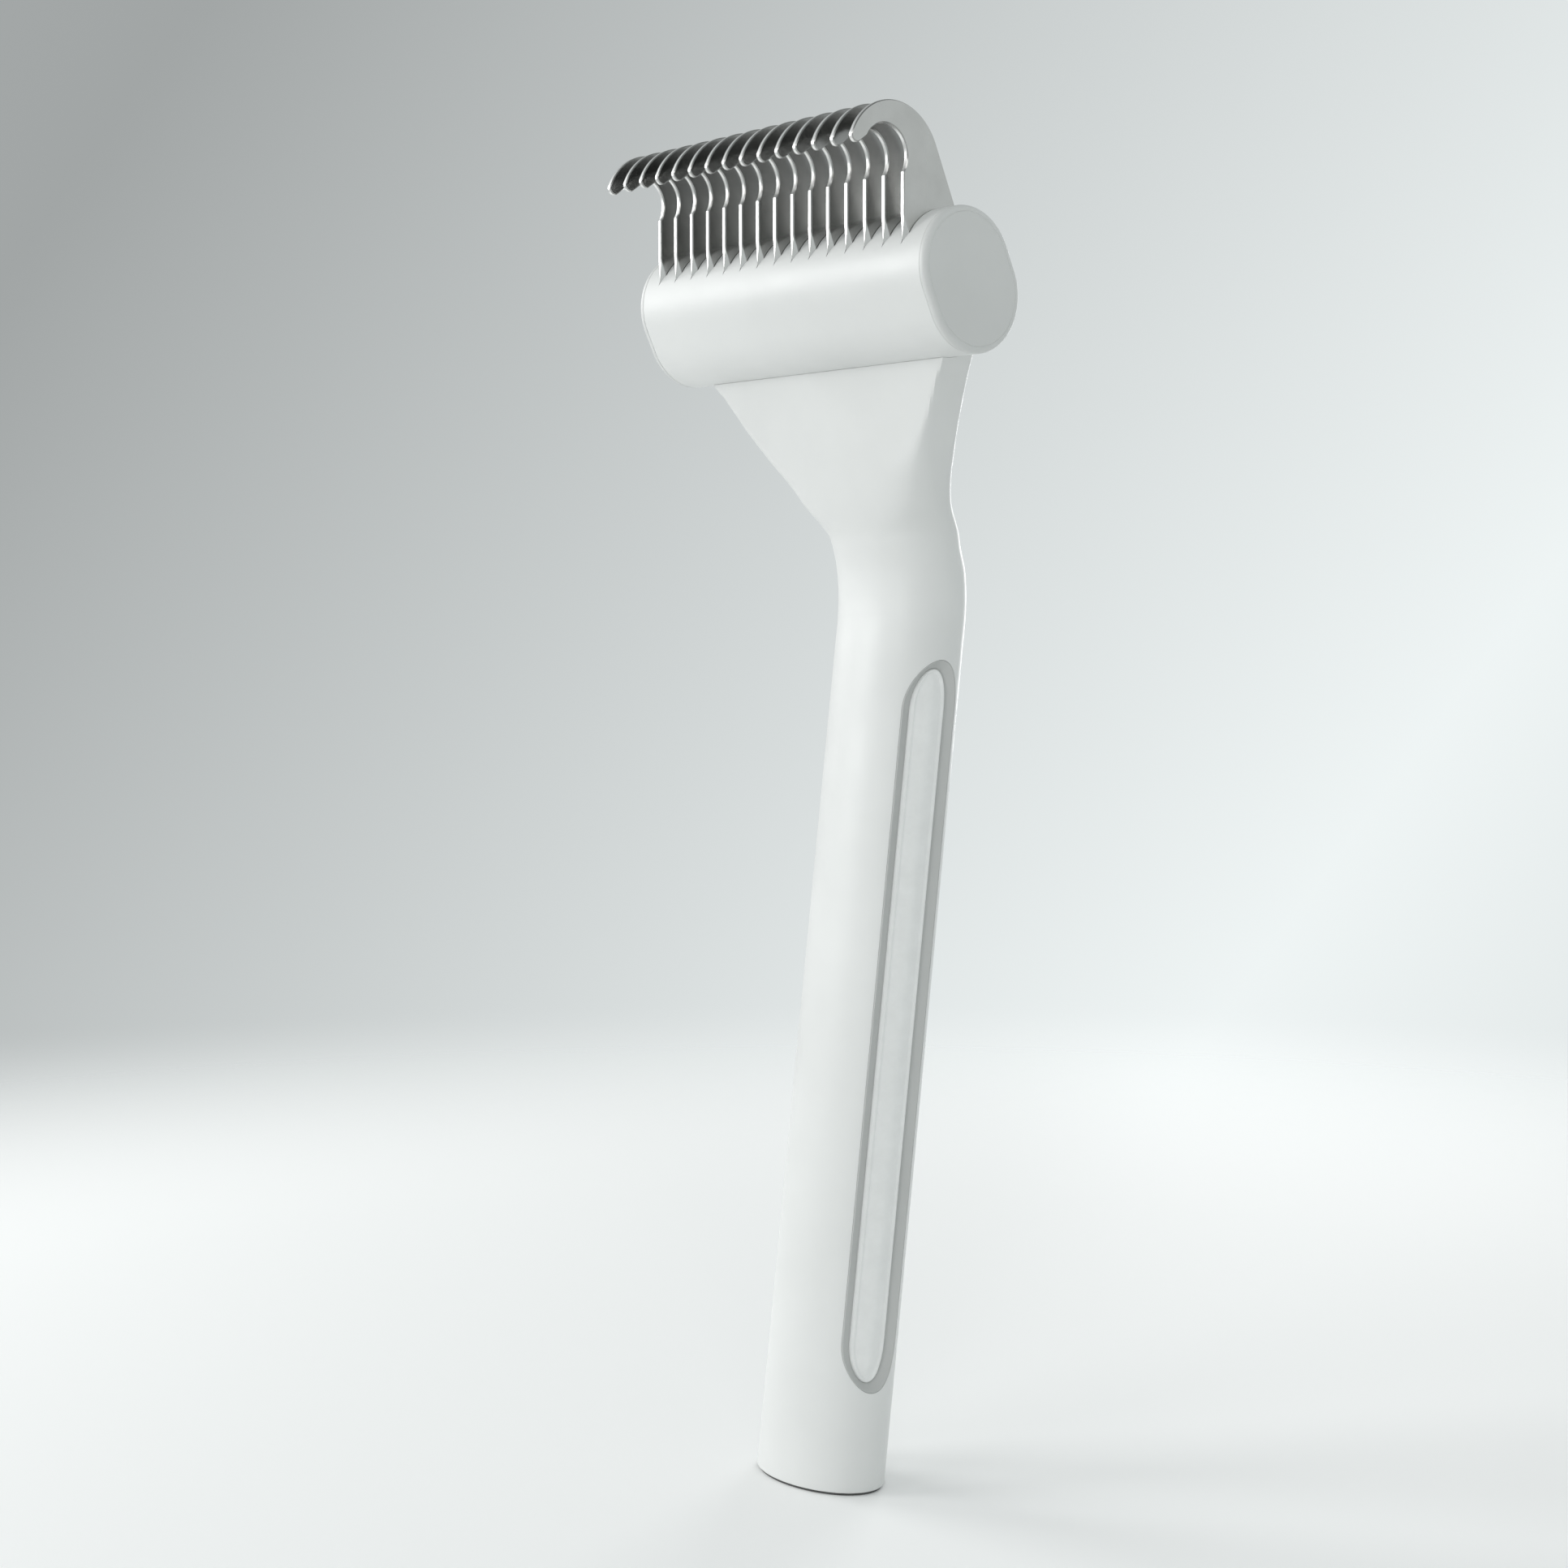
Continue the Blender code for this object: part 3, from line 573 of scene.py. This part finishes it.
def handle():
    bottom = HANDLE_LOW.z
    rounding = arc((FOOT_ROUND, FOOT_ROUND), FOOT_ROUND, -math.pi / 2, -math.pi, FOOT_ROUND_STEPS)
    rings = [handle_ring(bottom + rise, inset) for inset, rise in rounding]
    rings += [
        handle_ring(bottom + FOOT_ROUND + (HANDLE_TOP - bottom - FOOT_ROUND) * i / HANDLE_RINGS)
        for i in range(1, HANDLE_RINGS)
    ]
    rings += [neck_ring(i / NECK_RINGS) for i in range(NECK_RINGS + 1)]
    cavity = loft("cavity", [handle_ring(CAVITY_BOTTOM, HANDLE_WALL), handle_ring(CAVITY_TOP, HANDLE_WALL)])
    saddle = loft("saddle", [stadium_ring(x, BARREL_RADIUS + SEAM) for x in (-BARREL_LENGTH, BARREL_LENGTH)])
    cutters = [add_cutter("cavity", cavity), add_cutter("saddle", saddle)]
    cutters += [pocket_cutter(side, direction) for side, direction in SIDES]
    mesh = cut(loft("handle", rings), cutters, "handle")
    add_piece("handle", mesh, WHITE, ["handle_body"])


# Grip panels


def panel_outline(side, inset):
    """(distance behind the handle's middle plane, height) round a panel, inset all the way."""
    half_width = max(PANEL_HALF_WIDTH - inset, 0.02)
    end = PANEL_END - inset
    middle = PANEL_OFFSETS[side]
    low, high = PANEL_BOTTOM + PANEL_END, PANEL_TOP - PANEL_END
    outline = []
    for level, start, run in ((high, 0.0, low - high), (low, math.pi, high - low)):
        for i in range(PANEL_ARC_STEPS + 1):
            angle = start + math.pi * i / PANEL_ARC_STEPS
            outline.append((middle + half_width * math.cos(angle), level + end * math.sin(angle)))
        offset = outline[-1][0]
        outline += [(offset, level + run * i / PANEL_SIDE_STEPS) for i in range(1, PANEL_SIDE_STEPS)]
    return outline


def surface_point(direction, offset, z, depth):
    x = HALF_WIDTH * math.sqrt(max(1 - (offset / HALF_DEPTH) ** 2, 0)) - depth
    return (direction * x, offset + LEAN * z, z)


def surface_ring(side, direction, inset, depth):
    return [surface_point(direction, o, z, depth) for o, z in panel_outline(side, inset)]


def pocket_cutter(side, direction):
    floor = surface_ring(side, direction, -SEAM, POCKET_DEPTH)
    outside = [(direction * 2 * HALF_WIDTH, y, z) for _, y, z in floor]
    name = f"pocket_{side}"
    return add_cutter(name, loft(name, [floor, outside]))


def grip_panels():
    bottom = POCKET_DEPTH - SEAM
    slope = PAD_RECESS / BEZEL_WIDTH
    slope_end = BEZEL_WIDTH - BEZEL_SLOPE_END
    bezel = [(0, bottom), *BEZEL_EDGE, (BEZEL_SLOPE_START, BEZEL_SLOPE_START * slope)]
    bezel += [(slope_end, slope_end * slope), (BEZEL_WIDTH - 0.12, PAD_RECESS - 0.06)]
    bezel += [(BEZEL_WIDTH, PAD_RECESS + 0.02), (BEZEL_WIDTH, bottom)]
    start = BEZEL_WIDTH + SEAM
    pad = [(start, bottom)]
    pad += [(start + x, PAD_RECESS - y) for x, y in PAD_BEAD]
    width = PANEL_HALF_WIDTH - start - PAD_BEAD[-1][0]
    for i in range(1, PAD_STEPS + 1):
        share = i / PAD_STEPS
        rise = PAD_BEAD[-1][1] + PAD_CROWN * math.sin(share * math.pi / 2) ** 2
        pad.append((start + PAD_BEAD[-1][0] + width * share, PAD_RECESS - rise))
    for side, direction in SIDES:
        for name, profile, finish, slot in (
            ("grip_bezel", bezel, BEZEL, "bezel_grey"),
            ("grip_pad", pad, PAD, "pad_grey"),
        ):
            rings = [surface_ring(side, direction, inset, depth) for inset, depth in profile]
            mesh = loft(name, rings, closed=name == "grip_bezel")
            add_piece(f"{name}_{side}_skin", mesh, finish, [f"{name}_{side}"], 50)


# Blades


def blade_places():
    return [sum(node_box(name)[k].x for k in (0, 1)) / 2 for name in BLADES]


def back_edge_y(z):
    return BACK_TOP[0] + (BACK_TOP[1] - z) * math.tan(BACK_LEAN)


def blade_outline():
    notch = -math.acos((STEM_FRONT - GULLET[0]) / GULLET_RADIUS)
    reach = HOOK_RADIUS - TIP_RADIUS
    tip = (HOOK[0] + reach * math.cos(TIP_WAY), HOOK[1] + reach * math.sin(TIP_WAY))
    slope = (STEM_FOOT_FRONT - STEM_FRONT) / (SLOPE_TOP - SLOPE_BOTTOM)
    ledge, low = BARREL_HEIGHT + BLADE_FOOT_RISE, BARREL_HEIGHT - BLADE_FOOT_DROP
    half, corner = BLADE_FOOT_HALF, BLADE_FOOT_CORNER
    outline = arc(GULLET, GULLET_RADIUS, notch, GULLET_END, HOOK_STEPS)
    outline += arc(tip, TIP_RADIUS, TIP_START, TIP_END, TIP_STEPS)
    outline += arc(HOOK, HOOK_RADIUS, HOOK_START, BACK_LEAN, HOOK_STEPS)
    outline += [
        (min(back_edge_y(BARREL_HEIGHT + 1), half), BARREL_HEIGHT + 1),
        (half, BARREL_HEIGHT - 1),
        (half - corner, low),
        (corner - half, low),
        (-half, BARREL_HEIGHT - 1),
        (-half, ledge),
        (STEM_FOOT_FRONT + slope * (SLOPE_BOTTOM - ledge), ledge),
        (STEM_FRONT, SLOPE_TOP),
    ]
    return outline


def rod_holes():
    places = ((y, BARREL_HEIGHT) for y in (-ROD_OFFSET, ROD_OFFSET))
    return [arc(place, ROD_HOLE_RADIUS, 0, math.tau, ROD_HOLE_SIDES)[:-1] for place in places]


def plate(name, outlines, thickness, edge=0.0):
    """A flat plate in the YZ plane with its rim chamfered by edge.

    The first outline is the rim, and the others are holes.
    """
    curve = bpy.data.curves.new(name, "CURVE")
    curve.dimensions = "2D"
    curve.fill_mode = "BOTH"
    curve.extrude = (thickness / 2 - edge) * MM
    curve.bevel_depth = edge * MM
    curve.bevel_resolution = 0
    curve.offset = -edge * MM
    for outline in outlines:
        spline = curve.splines.new("POLY")
        spline.points.add(len(outline) - 1)
        for point, (y, z) in zip(spline.points, outline):
            point.co = (y * MM, z * MM, 0, 1)
        spline.use_cyclic_u = True
    holder = bpy.data.objects.new(name + "_curve", curve)
    bpy.context.scene.collection.objects.link(holder)
    graph = bpy.context.evaluated_depsgraph_get()
    mesh = bpy.data.meshes.new_from_object(holder.evaluated_get(graph))
    bpy.data.objects.remove(holder, do_unlink=True)
    bm = bmesh.new()
    bm.from_mesh(mesh)
    bmesh.ops.remove_doubles(bm, verts=bm.verts, dist=1e-7)
    upright = Matrix(((0, 0, 1, 0), (1, 0, 0, 0), (0, 1, 0, 0), (0, 0, 0, 1)))
    bmesh.ops.transform(bm, matrix=upright, verts=bm.verts)
    bmesh.ops.recalc_face_normals(bm, faces=bm.faces)
    bm.to_mesh(mesh)
    bm.free()
    return mesh


def chisel_cutter():
    """The wedge that is ground off the stem's front corner, deeper towards its bottom."""
    half = BLADE_THICKNESS / 2
    rings = []
    for z in (SLOPE_TOP + 0.2, SLOPE_BOTTOM - 0.6):
        drop = (SLOPE_TOP - z) / (SLOPE_TOP - SLOPE_BOTTOM)
        front = STEM_FRONT + (STEM_FOOT_FRONT - STEM_FRONT) * drop
        left = (half - BLADE_THICKNESS * (drop + 1), front - CHISEL_DEPTH)
        right = (half + BLADE_THICKNESS, front + CHISEL_DEPTH * (drop + 1))
        outside = (right[0] + half, left[1])
        rings.append([(x, y, z) for x, y in (left, right, outside)])
    return add_cutter("chisel", loft("chisel", rings))


def blades():
    plain = plate("blade", [blade_outline()] + rod_holes(), BLADE_THICKNESS, BLADE_EDGE)
    pattern = cut(plain, [chisel_cutter()], "blade_ground")
    places = blade_places()
    for node, x in zip(BLADES, places):
        mesh = pattern.copy()
        mesh.transform(Matrix.Translation((x * MM, 0, 0)))
        piece = add_piece(node + "_steel", mesh, STEEL, [node], 20)
        mesh.materials.append(GROUND)
        mesh.materials.append(PAINTED_LIGHT_STEEL)
        outward = {min(places): -1, max(places): 1}.get(x, 0)
        for face in mesh.polygons:
            if abs(face.normal.x) < RIM_FACING:
                face.material_index = GROUND_SLOT
            # The end blades' outer faces take the lighter steel, as painted light.
            elif face.normal.x * outward > OUTER_FACING:
                face.material_index = PAINTED_LIGHT_SLOT
        piece.data.update()


# Barrel


def rear_block(gap):
    """A block that takes in all of the barrel behind the blades' back edges, less a gap."""
    out = Vector((0, math.cos(BACK_LEAN), math.sin(BACK_LEAN)))
    middle = Vector((0, 0, BARREL_HEIGHT))
    start = out.dot(Vector((0, *BACK_TOP)))
    centre = out * (start + gap + FAR / 2) + middle - out * out.dot(middle)
    return add_cutter("rear_block", box("rear_block", (FAR, FAR, FAR), centre, BACK_LEAN))


def barrel_tube():
    half = BARREL_LENGTH / 2 - CAP_THICKNESS - SEAM
    inner = BARREL_RADIUS - BARREL_WALL
    rings = [
        stadium_ring(-half, BARREL_RADIUS - BARREL_CHAMFER),
        stadium_ring(-half + BARREL_CHAMFER, BARREL_RADIUS),
        stadium_ring(half - BARREL_CHAMFER, BARREL_RADIUS),
        stadium_ring(half, BARREL_RADIUS - BARREL_CHAMFER),
        stadium_ring(half, inner),
        stadium_ring(-half, inner),
    ]
    return loft("barrel_tube", rings, closed=True)


def slot_cutters():
    """The blades' slots, open at the back; each front wall slants to follow the stem's ground corner."""
    above = BARREL_HEIGHT + 2 * BARREL_RADIUS
    half = BLADE_THICKNESS / 2 + SLOT_GAP
    slant = SLOT_SLANT * half / BLADE_THICKNESS
    middle = STEM_FOOT_FRONT - SEAM + SLOT_SLANT / 2
    back = [
        (back_edge_y(above) + SLOT_BACK_GAP, above),
        (back_edge_y(BARREL_HEIGHT) + SLOT_BACK_GAP, BARREL_HEIGHT),
        (back_edge_y(BARREL_HEIGHT) - SLOT_REACH, BARREL_HEIGHT),
    ]
    bm = bmesh.new()
    for place in blade_places():
        rings = []
        for direction in (-1, 1):
            front = middle + direction * slant
            outline = [(front, BARREL_HEIGHT + SLOT_BOTTOM), (front, above)] + back
            rings.append([(place + direction * half, y, z) for y, z in outline])
        bm.from_mesh(loft("slot", rings))
    mesh = bpy.data.meshes.new("slots")
    bm.to_mesh(mesh)
    bm.free()
    return add_cutter("slots", mesh)


def barrel():
    front = cut(barrel_tube(), [rear_block(0), slot_cutters()], "barrel_front")
    add_piece("barrel_front", front, WHITE, ["barrel_front_shell"])
    rear = cut(barrel_tube(), [rear_block(2 * SEAM)], "barrel_rear", "INTERSECT")
    add_piece("barrel_rear", rear, WHITE, ["barrel_rear_cover"])


def end_caps():
    face = BARREL_LENGTH / 2
    flange = face - CAP_THICKNESS
    lip = flange - CAP_LIP_LENGTH
    lip_outer = BARREL_RADIUS - BARREL_WALL - SEAM
    lip_inner = lip_outer - CAP_LIP_WALL
    inner = BARREL_RADIUS - CAP_RIM
    profile = [(face - depth, inner + out) for depth, out in CAP_GROOVE_PROFILE]
    profile += arc((face - CAP_ROUND, BARREL_RADIUS - CAP_ROUND), CAP_ROUND, 0, math.pi / 2, CAP_ROUND_STEPS)
    profile += [(flange, BARREL_RADIUS), (flange, lip_outer), (lip, lip_outer)]
    profile += [(lip, lip_inner), (flange, lip_inner)]
    for side, direction in SIDES:
        rings = [stadium_ring(direction * x, radius) for x, radius in profile]
        mesh = loft("end_cap", rings)
        # The caps take the darker white, which is painted shade.
        add_piece(f"end_cap_{side}_disc", mesh, CAP_WHITE_PAINTED_SHADE, [f"end_cap_{side}"])


# Foot


def foot():
    _, high = node_box("foot_pad")
    levels = ((0, FOOT_PAD_CHAMFER), (FOOT_PAD_CHAMFER, 0), (high.z, 0))
    pad = [handle_ring(z, FOOT_PAD_INSET + extra) for z, extra in levels]
    # The near-black pad makes the thin dark line along the foot's bottom edge.
    add_piece("foot_pad_dark_line", loft("foot_pad", pad), FOOT, ["foot_pad"])


def carried_over():
    """The CAD nodes inside the comb stay as they are, with their own finishes."""
    finishes = {"foot_plug": NYLON}
    finishes.update({name: NYLON for name in frame["nodes"] if name.startswith("spacer_")})
    for name in frame["nodes"]:
        if name.startswith(("tie_rod", "rod_nut", "neck_screw")):
            finishes[name] = FASTENER
    for name, finish in finishes.items():
        for slot in frame["nodes"][name].material_slots:
            slot.material = finish


# Floor, lights and camera


def floor():
    """A pale round floor that fades out into the backdrop."""
    bm = bmesh.new()
    bmesh.ops.create_circle(bm, cap_ends=True, segments=128, radius=FLOOR_RADIUS)
    mesh = bpy.data.meshes.new("floor")
    bm.to_mesh(mesh)
    bm.free()
    made, tree, shader = principled("floor", (0.90, 0.905, 0.90), 0.6)
    shader.inputs["Specular IOR Level"].default_value = 0.1
    place = tree.nodes.new("ShaderNodeTexCoord")
    length = tree.nodes.new("ShaderNodeVectorMath")
    length.operation = "LENGTH"
    tree.links.new(place.outputs["Object"], length.inputs[0])
    fade = tree.nodes.new("ShaderNodeMapRange")
    fade.interpolation_type = "SMOOTHSTEP"
    fade.inputs["From Min"].default_value, fade.inputs["From Max"].default_value = FLOOR_FADE
    fade.inputs["To Min"].default_value = 1.0
    fade.inputs["To Max"].default_value = 0.0
    tree.links.new(length.outputs["Value"], fade.inputs["Value"])
    tree.links.new(fade.outputs["Result"], shader.inputs["Alpha"])
    mesh.materials.append(made)
    piece = bpy.data.objects.new("floor", mesh)
    bpy.context.scene.collection.objects.link(piece)


def world():
    made = bpy.data.worlds.new("studio")
    bpy.context.scene.world = made
    made.use_nodes = True
    tree = made.node_tree
    background = tree.nodes["Background"]
    place = tree.nodes.new("ShaderNodeTexCoord")
    split = tree.nodes.new("ShaderNodeVectorMath")
    split.operation = "DOT_PRODUCT"
    split.inputs[1].default_value = BACKDROP_RUN
    tree.links.new(place.outputs["Generated"], split.inputs[0])
    share = remap(tree, split.outputs["Value"], 0, 1, -1, 1)
    ramp = tree.nodes.new("ShaderNodeValToRGB")
    stops = ramp.color_ramp.elements
    stops.remove(stops[0])
    for place_on_ramp, level in BACKDROP_STOPS:
        stop = stops.new(place_on_ramp)
        stop.color = (level * 0.95, level, level, 1)
    stops.remove(stops[-1])
    tree.links.new(share, ramp.inputs["Fac"])
    tree.links.new(ramp.outputs["Color"], background.inputs["Color"])
    background.inputs["Strength"].default_value = 1.0


def softbox(name, place, aim, size, power):
    light = bpy.data.lights.new(name, "AREA")
    light.shape = "SQUARE"
    light.size = size
    light.energy = power
    obj = bpy.data.objects.new(name, light)
    obj.location = place
    obj.rotation_euler = (aim - place).to_track_quat("-Z", "Y").to_euler()
    bpy.context.scene.collection.objects.link(obj)


def lights():
    for name, (right, away, up), power in SOFTBOXES:
        way = STUDIO_RIGHT * right + STUDIO_AWAY * away + Vector((0, 0, up))
        softbox(name, STUDIO_AIM + way.normalized() * SOFTBOX_DISTANCE, STUDIO_AIM, SOFTBOX_SIZE, power)


def camera():
    data = bpy.data.cameras.new("camera")
    data.lens = CAMERA_LENS
    data.sensor_width = 36
    data.clip_start = 0.01
    obj = bpy.data.objects.new("camera", data)
    obj.location = CAMERA_PLACE
    obj.rotation_euler = (CAMERA_TILT, 0, CAMERA_TURN)
    bpy.context.scene.collection.objects.link(obj)
    bpy.context.scene.camera = obj


handle()
grip_panels()
blades()
barrel()
end_caps()
foot()
carried_over()
floor()
world()
lights()
camera()
bpy.context.scene.view_settings.view_transform = "Standard"
